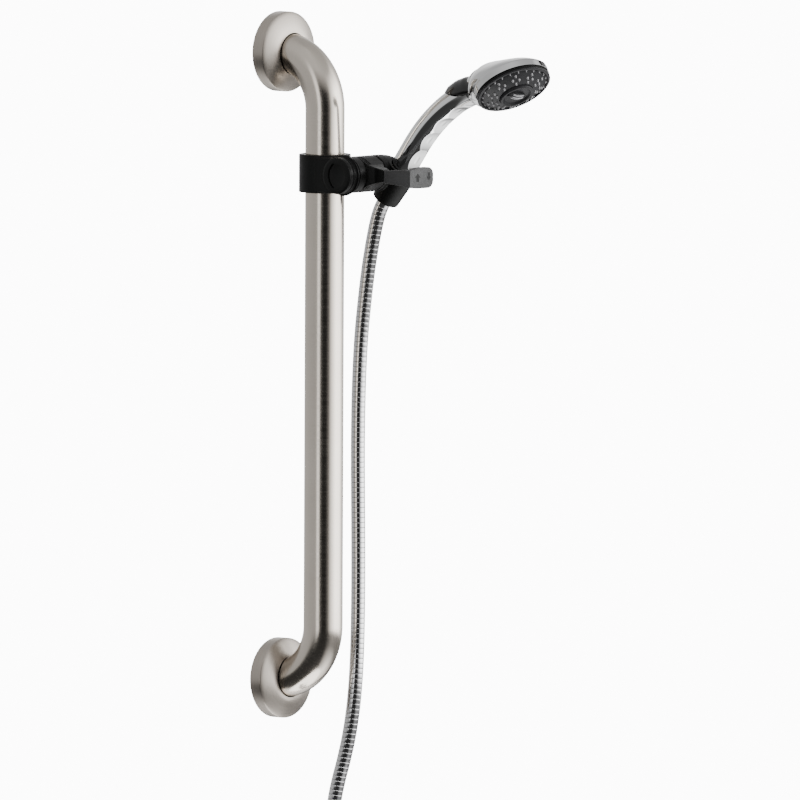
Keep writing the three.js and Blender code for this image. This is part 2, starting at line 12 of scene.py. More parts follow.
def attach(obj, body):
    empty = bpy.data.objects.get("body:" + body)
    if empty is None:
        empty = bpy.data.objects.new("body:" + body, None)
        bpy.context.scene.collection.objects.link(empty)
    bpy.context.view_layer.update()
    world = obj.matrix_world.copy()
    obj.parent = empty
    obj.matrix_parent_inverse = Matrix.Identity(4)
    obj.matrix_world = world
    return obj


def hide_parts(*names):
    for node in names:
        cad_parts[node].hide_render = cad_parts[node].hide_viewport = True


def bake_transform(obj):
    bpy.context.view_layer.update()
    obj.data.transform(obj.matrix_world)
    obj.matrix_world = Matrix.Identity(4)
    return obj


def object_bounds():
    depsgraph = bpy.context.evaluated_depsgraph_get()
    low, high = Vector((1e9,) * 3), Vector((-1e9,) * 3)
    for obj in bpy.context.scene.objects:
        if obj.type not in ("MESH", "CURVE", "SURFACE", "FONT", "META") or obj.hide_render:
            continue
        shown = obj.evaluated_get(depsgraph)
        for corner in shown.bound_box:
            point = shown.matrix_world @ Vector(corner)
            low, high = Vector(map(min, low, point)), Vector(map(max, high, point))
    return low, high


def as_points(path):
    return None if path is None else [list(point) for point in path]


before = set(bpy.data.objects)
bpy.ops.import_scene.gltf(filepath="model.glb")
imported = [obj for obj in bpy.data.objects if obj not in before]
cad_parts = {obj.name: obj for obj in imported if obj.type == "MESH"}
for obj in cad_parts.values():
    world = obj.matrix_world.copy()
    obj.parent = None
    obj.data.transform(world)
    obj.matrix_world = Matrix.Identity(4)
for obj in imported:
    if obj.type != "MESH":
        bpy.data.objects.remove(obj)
cad_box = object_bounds()
MM = 0.001
SCENE = bpy.context.scene.collection


def rot(degrees, axis):
    """A turn about one of the axes."""
    return Matrix.Rotation(math.radians(degrees), 4, axis)


def shift(x, y, z):
    """A move."""
    return Matrix.Translation((x, y, z))


# ---- The set's own frames, in millimetres ----
BAR_Y = -60.3  # the bar's axis; the wall is at Y = 0
BAR_SPAN = 609.6  # between the centres of the two wall covers
BARREL_Y = -96.8
HOLDER_Z = -115.5
HERE = Matrix.Identity(4)
ACROSS = Vector((1, 0, 0))
COLLAR = shift(0, BAR_Y, HOLDER_Z)
BARREL = shift(0, BARREL_Y, HOLDER_Z) @ rot(90, "Y")
SOCKET = shift(50, -95, -142) @ rot(36, "X")
HANDSET = SOCKET @ rot(-10, "Z")
HEAD_IN_HANDSET = shift(0, -74.8, 196.2) @ rot(107, "X")
HEAD = HANDSET @ HEAD_IN_HANDSET

# ---- Camera: BACK points from the set to the camera, lengths are in metres ----
BACK = Vector((-0.7547, -0.6514, 0.0785)).normalized()
ROLL = 0.23
VIEW_DISTANCE = 34.0
AIM_Z, AIM_RIGHT = -0.3392, 0.1194
SENSOR_MM, LENS_MM = 36, 1576
CLIP = (0.5, 200)


def make_camera():
    """A very long lens, far from the set."""
    data = bpy.data.cameras.new("camera")
    data.sensor_width = SENSOR_MM
    data.lens = LENS_MM
    data.clip_start, data.clip_end = CLIP
    camera = bpy.data.objects.new("camera", data)
    SCENE.objects.link(camera)
    right = Vector((0, 0, 1)).cross(BACK).normalized()
    target = Vector((0, 0, AIM_Z)) + right * AIM_RIGHT
    camera.matrix_world = (
        Matrix.Translation(target + BACK * VIEW_DISTANCE)
        @ BACK.to_track_quat("Z", "Y").to_matrix().to_4x4()
        @ rot(ROLL, "Z")
    )
    bpy.context.scene.camera = camera


make_camera()


# ---- Mesh helpers: places and lengths are in millimetres, angles in degrees ----
SHARP = 32.0  # an edge that turns more than this stays crisp
MOULDED_SHARP = 48.0
MERGE_M, SLIVER_M = 2e-6, 1e-6


def make(name, verts, faces, uvs=None, place=HERE, sharp=SHARP):
    """An object from vertices in the frame of place."""
    mesh = bpy.data.meshes.new(name)
    mesh.from_pydata([(place @ Vector(v)) * MM for v in verts], [], faces)
    obj = bpy.data.objects.new(name, mesh)
    SCENE.objects.link(obj)
    if uvs:
        layer = mesh.uv_layers.new(name="UVMap")
        for poly, corners in zip(mesh.polygons, uvs):
            for loop, uv in zip(poly.loop_indices, corners):
                layer.data[loop].uv = uv
    tidy(obj, sharp)
    return obj


def tidy(obj, sharp=SHARP):
    """Merges double points, turns every face outwards and sets smooth shading by angle."""
    bm = bmesh.new()
    bm.from_mesh(obj.data)
    bmesh.ops.remove_doubles(bm, verts=bm.verts, dist=MERGE_M)
    bmesh.ops.dissolve_degenerate(bm, edges=bm.edges, dist=SLIVER_M)
    bmesh.ops.recalc_face_normals(bm, faces=bm.faces)
    for face in bm.faces:
        face.smooth = True
    limit = math.radians(sharp)
    for edge in bm.edges:
        edge.smooth = len(edge.link_faces) == 2 and edge.calc_face_angle(0) < limit
    bm.to_mesh(obj.data)
    bm.free()


def surface(name, grid, loop, caps, place=HERE, scale=(1, 1), sharp=SHARP):
    """A mesh over rows of points, each of which is a ring. loop joins the last row to the first,
    and caps closes the two ends. scale is the UV step in metres along a row and between rows."""
    rows, columns = len(grid), len(grid[0])
    verts = [p for row in grid for p in row]
    u, v = scale
    faces, uvs = [], []
    for i in range(rows if loop else rows - 1):
        here, beyond = i * columns, (i + 1) % rows * columns
        for j in range(columns):
            after = (j + 1) % columns
            faces.append((here + j, here + after, beyond + after, beyond + j))
            left, right, low, high = j * u, (j + 1) * u, i * v, (i + 1) * v
            uvs.append([(left, low), (right, low), (right, high), (left, high)])
    if caps:
        for row, order in ((0, range(columns)), (rows - 1, reversed(range(columns)))):
            faces.append(tuple(row * columns + j for j in order))
            uvs.append([(0.0, 0.0)] * columns)
    return make(name, verts, faces, uvs, place, sharp)


def rounded(points, steps=4):
    """A profile with the corners given as (r, z, radius) rounded off."""
    out = []
    count = len(points)
    for i, point in enumerate(points):
        at = Vector(point[:2])
        radius = point[2] if len(point) > 2 else 0
        if not radius:
            out.append(tuple(at))
            continue
        before = Vector(points[i - 1][:2]) - at
        after = Vector(points[(i + 1) % count][:2]) - at
        cut = min(radius, before.length * 0.45, after.length * 0.45)
        a, b = at + before.normalized() * cut, at + after.normalized() * cut
        for k in range(steps + 1):
            t = k / steps
            out.append(tuple(a * (1 - t) ** 2 + at * 2 * t * (1 - t) + b * t * t))
    return out


LATHE_UV_RADIUS_M, LATHE_UV_STEP_M = 0.02, 0.0012


def lathe(name, profile, place, sides=96, closed=True, wave=None, sharp=SHARP):
    """A body turned about Z. A profile that isn't closed starts and ends on the axis.
    wave(angle, z) gives a factor on the radius."""
    grid = []
    for r, z in profile:
        row = []
        for j in range(sides):
            a = 2 * math.pi * j / sides
            k = wave(a, z) if wave else 1
            row.append((r * k * math.cos(a), r * k * math.sin(a), z))
        grid.append(row)
    width = 2 * math.pi * LATHE_UV_RADIUS_M / sides
    return surface(name, grid, closed, False, place, (width, LATHE_UV_STEP_M), sharp)


def frames_along(points):
    """At each point, the two directions across the line, turned as little as possible."""
    out = []
    side = ACROSS
    for i, p in enumerate(points):
        ahead = points[min(i + 1, len(points) - 1)] - points[max(i - 1, 0)]
        t = ahead.normalized()
        side = (side - t * side.dot(t)).normalized()
        out.append((p, side, t.cross(side)))
    return out


def tube(name, points, radius, sides, step=0.001, sharp=40.0):
    """A round body with closed ends along a line. radius(i) is its radius at point i."""
    grid = []
    for i, (p, a, b) in enumerate(frames_along(points)):
        r = radius(i)
        row = []
        for j in range(sides):
            angle = 2 * math.pi * j / sides
            row.append(tuple(p + a * (r * math.cos(angle)) + b * (r * math.sin(angle))))
        grid.append(row)
    width = 2 * math.pi * radius(0) * MM / sides
    return surface(name, grid, False, True, HERE, (width, step), sharp)


def prism(name, outline, low, high, place=HERE):
    """A solid of a closed outline in the local XY plane, from one height to another."""
    count = len(outline)
    verts = [(x, y, low) for x, y in outline] + [(x, y, high) for x, y in outline]
    faces = [tuple(reversed(range(count))), tuple(range(count, 2 * count))]
    faces += [(i, (i + 1) % count, count + (i + 1) % count, count + i) for i in range(count)]
    return make(name, verts, faces, None, place)


def block(name, low, high, place=HERE):
    """A box between two corners, as a tool for booleans."""
    outline = [(low[0], low[1]), (high[0], low[1]), (high[0], high[1]), (low[0], high[1])]
    return prism(name, outline, low[2], high[2], place)


def drum(name, radius, low, high, place, sides=96):
    """A cylinder about the local Z, as a tool for booleans."""
    turns = [2 * math.pi * i / sides for i in range(sides)]
    outline = [(radius * math.cos(a), radius * math.sin(a)) for a in turns]
    return prism(name, outline, low, high, place)


def arc(x, y, radius, start, end, count):
    """Points of an arc about (x, y), both ends among them."""
    turns = [math.radians(start + (end - start) * i / count) for i in range(count + 1)]
    return [(x + radius * math.cos(a), y + radius * math.sin(a)) for a in turns]


def smoothstep(t):
    """0 below 0, 1 above 1, and a smooth rise between."""
    t = min(1.0, max(0.0, t))
    return t * t * (3 - 2 * t)


def apply_modifiers(obj):
    """Replaces the mesh with the one its modifiers make, and removes them."""
    graph = bpy.context.evaluated_depsgraph_get()
    mesh = bpy.data.meshes.new_from_object(obj.evaluated_get(graph))
    obj.modifiers.clear()
    old = obj.data
    obj.data = mesh
    bpy.data.meshes.remove(old)


def combine(base, *others):
    """Booleans in turn: each of others is ("UNION" / "DIFFERENCE" / "INTERSECT", object)."""
    for operation, other in others:
        modifier = base.modifiers.new("cut", "BOOLEAN")
        modifier.operation, modifier.object, modifier.solver = operation, other, "EXACT"
        apply_modifiers(base)
        bpy.data.objects.remove(other)
    tidy(base)
    return base


def moulded(obj, voxel, passes):
    """Remeshes a body finely and relaxes it, so that its edges are rounded as a moulding's are."""
    remesh = obj.modifiers.new("remesh", "REMESH")
    remesh.mode, remesh.voxel_size, remesh.use_smooth_shade = "VOXEL", voxel * MM, True
    smooth = obj.modifiers.new("smooth", "SMOOTH")
    smooth.factor, smooth.iterations = 0.5, passes
    apply_modifiers(obj)
    tidy(obj, MOULDED_SHARP)
    return obj


def join(name, objects):
    """One object from several, which stay separate shells."""
    bm = bmesh.new()
    for obj in objects:
        bm.from_mesh(obj.data)
        bpy.data.objects.remove(obj)
    mesh = bpy.data.meshes.new(name)
    bm.to_mesh(mesh)
    bm.free()
    made = bpy.data.objects.new(name, mesh)
    SCENE.objects.link(made)
    return made


def dress(obj, body, slot, material, *nodes):
    """Gives a piece its material, the body it rides on and the CAD nodes that it stands for."""
    obj.data.materials.clear()
    obj.data.materials.append(material)
    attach(obj, body)
    if nodes:
        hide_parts(*nodes)


# ---- Materials ----
NOISE_LOW, NOISE_HIGH = 0.3, 0.7  # the part of a noise's range that holds nearly all its values


class Shader:
    """A material with a Principled shader, and short ways to add nodes to it."""

    def __init__(self, name, color, rough, metal=0.0, **sockets):
        self.material = bpy.data.materials.new(name)
        self.material.use_nodes = True
        self.tree = self.material.node_tree
        self.main = self.tree.nodes["Principled BSDF"]
        self.main.inputs["Base Color"].default_value = (*color, 1)
        self.main.inputs["Roughness"].default_value = rough
        self.main.inputs["Metallic"].default_value = metal
        for key, value in sockets.items():
            self.main.inputs[key.replace("_", " ")].default_value = value

    def node(self, kind, **inputs):
        """A new node, with values for some of its inputs."""
        made = self.tree.nodes.new(kind)
        for key, value in inputs.items():
            made.inputs[key].default_value = value
        return made

    def link(self, start, end):
        self.tree.links.new(start, end)

    def noise(self, scale, detail=3.0, source="Object", stretch=(1, 1, 1)):
        """A noise over the object's own place in metres, or over its UVs."""
        place = self.node("ShaderNodeTexCoord")
        mapping = self.node("ShaderNodeMapping", Scale=stretch)
        self.link(place.outputs[source], mapping.inputs["Vector"])
        made = self.node("ShaderNodeTexNoise", Scale=scale, Detail=detail)
        self.link(mapping.outputs["Vector"], made.inputs["Vector"])
        return made.outputs["Fac"]

    def spread(self, value, low, high, target):
        """A noise value turned into a range on one of the shader's sockets."""
        made = self.node("ShaderNodeMapRange", **{
            "From Min": NOISE_LOW, "From Max": NOISE_HIGH, "To Min": low, "To Max": high,
        })
        self.link(value, made.inputs["Value"])
        self.link(made.outputs["Result"], self.main.inputs[target])

    def tint(self, value, low, high):
        """A noise value turned into a colour between two."""
        made = self.node("ShaderNodeValToRGB")
        ends = zip(made.color_ramp.elements, (NOISE_LOW, NOISE_HIGH), (low, high))
        for element, position, color in ends:
            element.position, element.color = position, (*color, 1)
        self.link(value, made.inputs["Fac"])
        self.link(made.outputs["Color"], self.main.inputs["Base Color"])

    def bump(self, value, strength, distance):
        """A noise value turned into relief of a given depth in metres."""
        made = self.node("ShaderNodeBump", Strength=strength, Distance=distance)
        self.link(value, made.inputs["Height"])
        self.link(made.outputs["Normal"], self.main.inputs["Normal"])


def brushed(name, low, high, rough):
    """Metal with fine brushing lines along the UV's first direction."""
    shader = Shader(name, low, rough, 1.0)
    lines = shader.noise(1.0, 4.0, "UV", (30, 5200, 1))
    cloud = shader.noise(22.0, 2.0)
    shader.tint(cloud, low, high)
    shader.spread(lines, rough - 0.06, rough + 0.08, "Roughness")
    shader.bump(lines, 0.25, 0.00004)
    return shader.material


def plated(name, color, rough):
    """Bright plating, slightly uneven."""
    shader = Shader(name, color, rough, 1.0)
    shader.tint(shader.noise(45.0), tuple(c * 0.95 for c in color), color)
    shader.spread(shader.noise(160.0, 5.0), rough * 0.7, rough * 1.7, "Roughness")
    shader.bump(shader.noise(70.0, 2.0), 0.06, 0.0004)
    return shader.material


def moulding(name, color, rough, grain=0.12, **sockets):
    """Plastic or rubber with a fine mould grain."""
    shader = Shader(name, color, rough, 0.0, **sockets)
    dark, light = (tuple(c * k for c in color) for k in (0.82, 1.15))
    shader.tint(shader.noise(30.0), dark, light)
    shader.spread(shader.noise(240.0, 5.0), rough - 0.05, rough + 0.07, "Roughness")
    shader.bump(shader.noise(2600.0, 2.0), grain, 0.00005)
    return shader.material


NICKEL = brushed("brushed_nickel", (0.55, 0.50, 0.44), (0.58, 0.53, 0.47), 0.17)
# The covers' nickel: its rougher brushing is real, and its colour, darker than the bar's, is painted
# shade.
NICKEL_ROUGH_SHADED = brushed("brushed_nickel_cover_rough_painted_shade", (0.40, 0.365, 0.325), (0.44, 0.40, 0.355), 0.34)
CHROME = plated("chrome", (0.82, 0.82, 0.825), 0.06)
PLATING = plated("chromed_plastic", (0.80, 0.805, 0.81), 0.05)
# The head shell's plating is a darker copy of the handle's: its lower colour is painted shade, not a
# different plating.
SHADED_SHELL_PLATING = plated("chromed_plastic_head_painted_shade", (0.60, 0.602, 0.606), 0.07)
HOSE_METAL = plated("hose_metal", (0.60, 0.60, 0.605), 0.10)
BLACK = moulding("black_plastic", (0.0056, 0.0056, 0.0056), 0.38, Specular_IOR_Level=0.15)
GLOSS = moulding("gloss_black", (0.003, 0.003, 0.0032), 0.12, 0.02)
GREY = moulding("grey_plastic", (0.064, 0.064, 0.065), 0.5, Specular_IOR_Level=0.3)
MARK = moulding("mark_dark", (0.008, 0.008, 0.008), 0.5, Specular_IOR_Level=0.2)
FACE = moulding("face_plastic", (0.027, 0.027, 0.029), 0.36, 0.05, Specular_IOR_Level=0.13)
NOZZLE = moulding("nozzle_rubber", (0.42, 0.42, 0.43), 0.4, 0.04)
RUBBER = moulding("rubber", (0.018, 0.018, 0.018), 0.7)
WHITE = moulding("white_plastic", (0.72, 0.72, 0.70), 0.45)
STEEL = plated("steel", (0.56, 0.56, 0.55), 0.25)
BRASS = plated("brass", (0.62, 0.44, 0.18), 0.25)
STRAP = moulding("strap", (0.03, 0.03, 0.032), 0.75, 0.5)


# ---- Hose: the cord. Its route hangs in the plane X = HOSE_X, as (Y, Z) points ----
HOSE_RADIUS = 7.0
HOSE_LENGTH = 1600.0
HOSE_X = 50
HOSE_ROUTE = [
    (-93.5, -144.0), (-90.2, -149.0), (-87.5, -154.4), (-85.3, -160.0), (-81.9, -171.5),
    (-78.2, -187.0), (-73.4, -211.0), (-68.6, -243.0), (-64.8, -275.0), (-62.5, -308.0),
    (-61.2, -345.0), (-60.8, -385.0), (-61.1, -425.0), (-61.6, -465.0), (-61.9, -505.0),
    (-61.7, -545.0), (-60.9, -580.0), (-59.1, -612.0), (-55.8, -641.0), (-50.6, -668.0),
    (-43.9, -692.0), (-37.4, -712.0), (-32.6, -731.0), (-29.9, -752.4),
]
HANK = {"x": 8.0, "fold": 42.0, "top": -787.0, "front": -29.9, "back": -15.6}
FOLD_STEPS = 24
STRAIGHT_LENGTH = 60  # a longer step between two points of the route is a straight run
STRAIGHT_STEPS, CURVE_STEPS = 40, 12
TINY = 1e-6


def hose_path():
    """The hose's centre line in millimetres, and the Z of its end."""
    route = [Vector((HOSE_X, y, z)) for y, z in HOSE_ROUTE]
    seen = sum((b - a).length for a, b in zip(route, route[1:]))
    x, fold, top, front, back = (HANK[k] for k in ("x", "fold", "top", "front", "back"))
    outer, inner = fold + HOSE_RADIUS, fold - HOSE_RADIUS
    lead = math.sqrt(outer ** 2 - inner ** 2) + 0.3
    folds = math.pi * fold + math.hypot(math.pi * fold, back - front)
    run = (HOSE_LENGTH - seen - folds - 2 * lead) / 3
    bottom = top - run
    points = list(route)
    points.append(Vector((x + fold, front, top)))
    points.append(Vector((x + fold, front, bottom)))
    half_turn = [math.pi * i / FOLD_STEPS for i in range(1, FOLD_STEPS + 1)]
    for a in half_turn:
        points.append(Vector((x + fold * math.cos(a), front, bottom - fold * math.sin(a))))
    points.append(Vector((x - fold, front, top)))
    for a in half_turn:
        y = front + (back - front) * ((1 - math.cos(a)) / 2)
        points.append(Vector((x - fold * math.cos(a), y, top + fold * math.sin(a))))
    end = bottom - lead
    points.append(Vector((x + fold, back, bottom)))
    points.append(Vector((x + fold, back, end)))
    return points, end


def resampled(points, step):
    """Points along a smooth curve through the given ones. step(i) is the distance after point i."""
    fine = []
    for i in range(len(points) - 1):
        a, b, c, d = (points[max(i - 1, 0)], points[i], points[i + 1],
                      points[min(i + 2, len(points) - 1)])
        if (c - b).length > STRAIGHT_LENGTH:
            fine += [b.lerp(c, k / STRAIGHT_STEPS) for k in range(STRAIGHT_STEPS)]
            continue
        m0 = (c - a) * (c - b).length / max((b - a).length + (c - b).length, TINY)
        m1 = (d - b) * (c - b).length / max((d - c).length + (c - b).length, TINY)
        for k in range(CURVE_STEPS):
            t = k / CURVE_STEPS
            fine.append(
                b * (2 * t ** 3 - 3 * t ** 2 + 1) + m0 * (t ** 3 - 2 * t ** 2 + t)
                + c * (-2 * t ** 3 + 3 * t ** 2) + m1 * (t ** 3 - t ** 2))
    fine.append(points[-1])
    lengths = [0.0]
    for a, b in zip(fine, fine[1:]):
        lengths.append(lengths[-1] + (b - a).length)
    total = lengths[-1]
    wanted, out, k = 0.0, [], 0
    while wanted <= total:
        while k < len(fine) - 2 and lengths[k + 1] < wanted:
            k += 1
        span = lengths[k + 1] - lengths[k]
        out.append(fine[k].lerp(fine[k + 1], (wanted - lengths[k]) / span if span else 0))
        wanted += step(len(out) - 1)
    return out


# One winding of the hose's metal: its length, and its radius at distances from its start.
PITCH = 4.9
BANDS = [(0.0, 6.2), (0.06, 6.86), (0.2, 6.98), (0.6, 7.0), (4.3, 7.0), (4.7, 6.98), (4.84, 6.86)]


def make_hose():
    """The hose, the points that it follows in metres, and the Z of its end."""
    points, end = hose_path()
    count = len(BANDS)

    def step(i):
        here = BANDS[i % count][0]
        after = BANDS[(i + 1) % count][0] + (PITCH if (i + 1) % count == 0 else 0)
        return after - here

    line = resampled(points, step)
    hose = tube("hose", line, lambda i: BANDS[i % count][1], 20, sharp=80)
    hose.data.materials.append(HOSE_METAL)
    return hose, [tuple(p * MM) for p in line[::3] + [line[-1]]], end


hose, hose_line, hose_end = make_hose()

# ---- Far end of the hose ----
END = shift(HANK["x"] + HANK["fold"], HANK["back"], hose_end)


def grips(count, depth, low, high):
    """A wave for lathe(): grooves round a nut between two heights."""
    def wave(angle, z):
        share = min(1.0, max(0.0, (z - low) / 1.5), 1.0) * min(1.0, max(0.0, (high - z) / 1.5))
        return 1 - depth * share * max(0.0, math.cos(count * angle)) ** 3
    return wave


far_sleeve = lathe("far_end_sleeve", rounded([
    (5.5, -0.3), (7.5, -0.3, 0.3), (7.5, -18), (10.2, -18, 0.2), (10.2, -20, 0.3), (5.5, -20),
]), END)
far_nut = lathe("far_end_nut", rounded([
    (8, -4), (12.5, -4, 0.8), (12.3, -8), (11.9, -12), (11.2, -16), (10.4, -20), (9.9, -23.5),
    (9.8, -30, 0.7), (8.6, -30, 0.3), (8.6, -17.7), (8, -17.7),
]), END, 144, True, grips(16, 0.055, -21, -6))


def make_tie():
    """A strap round the hank's two strands: a band, and a shorter layer over it."""
    x = HANK["x"] + HANK["fold"]
    y = (HANK["front"] + HANK["back"]) / 2
    apart = (HANK["back"] - HANK["front"]) / 2
    middle = (HANK["top"] + hose_end + 34.5) / 2
    shells = []
    for grow, thick, tall, turn in ((0.45, 0.9, 12.0, 0.0), (1.45, 0.6, 11.4, 0.35)):
        inner, outer = [], []
        for cy, start in ((1, 0), (-1, 180)):
            for a in range(13):
                angle = math.radians(start + 15 * a)
                for ring, r in ((inner, HOSE_RADIUS + grow), (outer, HOSE_RADIUS + grow + thick)):
                    ring.append((r * math.cos(angle), cy * apart + r * math.sin(angle)))
        grid = []
        half = tall / 2
        for ring, z in ((inner, -half), (outer, -half + 0.3), (outer, half - 0.3), (inner, half)):
            grid.append([(px, py, z) for px, py in ring])
        shells.append(surface("tie_part", grid, True, False, shift(x, y, middle + turn)))
    return join("hank_strap", shells)


strap = make_tie()
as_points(hose_line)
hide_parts("hose_tube", "hose_hank")
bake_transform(hose)
dress(far_sleeve, "hose", "chrome", CHROME, "far_sleeve")
dress(far_nut, "far_nut", "chrome", CHROME, "far_nut")
dress(strap, "hose", "tie", STRAP, "hank_tie")


# ---- Bar and wall covers ----
BAR_RADIUS = 19.05


def make_bar():
    """A bent tube: out of the wall, down the wall, and back into it."""
    leg, bend = -6.3, 54.0
    turns = [(math.sin(math.radians(a)), math.cos(math.radians(a))) for a in range(0, 91, 2)]
    line = [Vector((0, -3.3, 0)), Vector((0, -4.8, 0))]
    line += [Vector((0, leg - bend * sin, bend * cos - bend)) for sin, cos in turns]
    line += [Vector((0, BAR_Y, -bend - (BAR_SPAN - 2 * bend) * i / 40)) for i in range(1, 40)]
    line += [Vector((0, leg - bend * cos, bend - BAR_SPAN - bend * sin)) for sin, cos in turns]
    line += [Vector((0, -4.8, -BAR_SPAN)), Vector((0, -3.3, -BAR_SPAN))]
    return tube("grab_bar", line, lambda i: BAR_RADIUS, 96, 0.004)


dress(make_bar(), "bar", "brushed_nickel", NICKEL, "bar_tube")


def make_cover(word, z, side):
    """A flange cover. Its hole stands off centre, the way that the bar bends."""
    place = shift(0, 0, z) @ rot(90, "X")
    shell = lathe("wall_cover_" + word, rounded([
        (37.8, 0.3), (39, 0.3, 0.3), (39, 12.8, 0.5), (37.6, 13.9), (35.5, 15), (33.2, 16.1),
        (31, 17), (29, 17.8), (27, 18.5), (25, 19.1), (23, 19.6), (21, 19.9), (17, 20),
        (17, 18.8), (21, 18.6), (25, 17.7), (29, 16.3), (33, 14.4), (37.8, 11.9),
    ], 6), place, 160)
    hole = drum("hole", 20.3, 10, 30, place @ shift(0, -side * 1.7, 0), 96)
    return combine(shell, ("DIFFERENCE", hole))


for word, z, side in (("upper", 0.0, 1), ("lower", -BAR_SPAN, -1)):
    dress(make_cover(word, z, side), "cover_" + word, "brushed_nickel", NICKEL_ROUGH_SHADED,
          "flange_cover_" + word)
    # A black ring round the bar inside each cover's hole: its black is painted shade in the gap
    # between the bar and the hole.
    gap_shade_ring = lathe("cover_gap_shade_ring_" + word, [(19.3, 16), (22.5, 16), (22.5, 17.4), (19.3, 17.4)],
                 shift(0, 0, z - side * 1.0) @ rot(90, "X"))
    dress(gap_shade_ring, "cover_" + word, "rubber", RUBBER)


# ---- Slider ----
BARREL_RADIUS = 17.75


def grooves(*places):
    """Tools that cut narrow rings into the barrel, at distances along it."""
    return [
        ("DIFFERENCE", lathe(
            "groove", [(16.7, x - 0.5), (20, x - 0.5), (20, x + 0.5), (16.7, x + 0.5)], BARREL, 128))
        for x in places
    ]


def make_slider():
    """The collar round the bar and the half of the barrel that is part of it."""
    half = 18.5
    collar = drum("slider", 25.2, -half, half, COLLAR, 128)
    barrel = drum("barrel", BARREL_RADIUS, -23.5, 0.2, BARREL, 128)
    web = block("web", (-23.5, BARREL_Y, HOLDER_Z - 16.75), (-1, BAR_Y, HOLDER_Z + 16.75))
    rings = grooves(-19.0, -14.6, -10.4)
    return moulded(combine(
        collar, ("UNION", barrel), ("UNION", web),
        ("DIFFERENCE", drum("bore", 21.1, -60, 60, COLLAR, 128)),
        ("DIFFERENCE", drum("pocket", 14.2, -40, -4, BARREL)),
        ("DIFFERENCE", drum("bolt_hole", 5.3, -10, 5, BARREL, 48)),
        *rings,
    ), 0.38, 8)


dress(make_slider(), "slider", "black_plastic", BLACK, "slider_body")


def make_end_cap():
    """The round cap on the barrel's end, with a curved slit in it."""
    cap = lathe("barrel_end_cap", rounded([
        (0, -25.2), (9.5, -25.25), (11.5, -25.6, 0.6), (15.6, -25.6, 1.0),
        (BARREL_RADIUS, -24.9, 0.7), (BARREL_RADIUS, -23.8),
        (13.8, -23.8), (13.8, -20.6), (12.3, -20.6), (12.3, -23.8), (0, -23.8),
    ]), BARREL, 128, False)
    sweep = [math.radians(d) for d in range(-58, 59, 4)]
    outline = [(14.6 * math.sin(t), 14.6 * math.cos(t) - 4.4) for t in sweep]
    outline += [(13.2 * math.sin(t), 13.2 * math.cos(t) - 4.4) for t in reversed(sweep)]
    slit = prism("slit", outline, -27, -23.9, BARREL)
    return combine(cap, ("DIFFERENCE", slit))


dress(make_end_cap(), "slider", "black_plastic", BLACK, "slider_end_cap")


# ---- Lever ----
# In the side view's frame, local x goes to Y, local y to Z and local z to X.
SIDE_VIEW = Matrix(((0, 0, 1, 0), (1, 0, 0, 0), (0, 1, 0, HOLDER_Z), (0, 0, 0, 1)))


def front_view(y, z):
    """A frame whose x goes to X, y to Z, and z forwards from the plane Y = y."""
    return Matrix(((1, 0, 0, 0), (0, 0, -1, y), (0, 1, 0, z), (0, 0, 0, 1)))


def make_yoke():
    """The lever's black half of the barrel and the neck that carries the paddle."""
    plan = prism("yoke", [
        (0.5, -66.8), (26.2, -66.8), (26.2, -111.55), (23, -116), (18, -121), (15, -130), (5, -130),
        (4, -121), (0.5, -111.55),
    ], HOLDER_Z - 30, HOLDER_Z + 30)
    side_points = arc(BARREL_Y, 0, BARREL_RADIUS, 285, 240, 12) + [
        (-115.0, -9.8), (-120, -8.0), (-130, -6), (-130, 6), (-120, 8.0), (-115.0, 9.8),
    ] + arc(BARREL_Y, 0, BARREL_RADIUS, 120, 75, 12)
    side = prism("side", side_points, -15, 45, SIDE_VIEW)
    front = block("front", (0, -200, HOLDER_Z - 30), (60, -91.8, HOLDER_Z + 30))
    rings = grooves(3.2, 6.0)
    return moulded(combine(
        plan, ("INTERSECT", side), ("INTERSECT", front),
        ("UNION", drum("core", 17.6, 0.5, 26.2, BARREL, 128)),
        ("DIFFERENCE", block("no_back", (-10, -91.8, HOLDER_Z - 30), (40, -60, HOLDER_Z + 30))),
        ("UNION", drum("inner_core", 10.5, 0.5, 26.2, BARREL, 96)),
        ("DIFFERENCE", drum("bolt_hole", 5.3, -5, 30, BARREL, 48)),
        ("DIFFERENCE", drum("seat", 9, -5, 9, BARREL, 64)),
        *rings,
    ), 0.38, 14)


dress(make_yoke(), "lever", "black_plastic", BLACK, "lever_yoke")


def make_paddle():
    """The grey thumb paddle: a blade out of the yoke, and a rounded pad across its end."""
    beam = prism("lever_blade", [
        (-130.3, -7), (-143, -8.0), (-158, -9), (-158, 7.5), (-143, 6.2), (-130.3, 5),
    ], 6, 14, SIDE_VIEW)
    pad_outline = (
        [(6, -9.0), (12, -9.7), (18, -10.2), (26, -10.3)]
        + arc(33.6, -2.8, 7.5, 270, 360, 8) + arc(33.6, 2.6, 7.5, 0, 90, 8)
        + [(26, 10.2), (18, 9.9), (12, 8.8), (6, 7.6)]
    )
    pad = prism("pad", pad_outline, 0, 6, front_view(-158, HOLDER_Z - 1))
    return moulded(combine(beam, ("UNION", pad)), 0.35, 5)


def make_arrows():
    """Two generic arrows on the pad: one up, one down."""
    front = front_view(-163.85, HOLDER_Z)
    shells = []
    for x, z, way, wide in ((17.8, -0.6, 1, 4.1), (34.2, -0.2, -1, 3.2)):
        points = [(0, 4), (wide, 0), (wide * 0.45, 0), (wide * 0.45, -4), (-wide * 0.45, -4),
                  (-wide * 0.45, 0), (-wide, 0)]
        outline = [(x + px * way, z + py * way) for px, py in points]
        shells.append(prism("arrow", outline, -0.4, 0.3, front))
    return join("paddle_arrows", shells)


dress(make_paddle(), "lever", "grey_plastic", GREY, "lever_paddle")
dress(make_arrows(), "lever", "black_plastic", MARK)


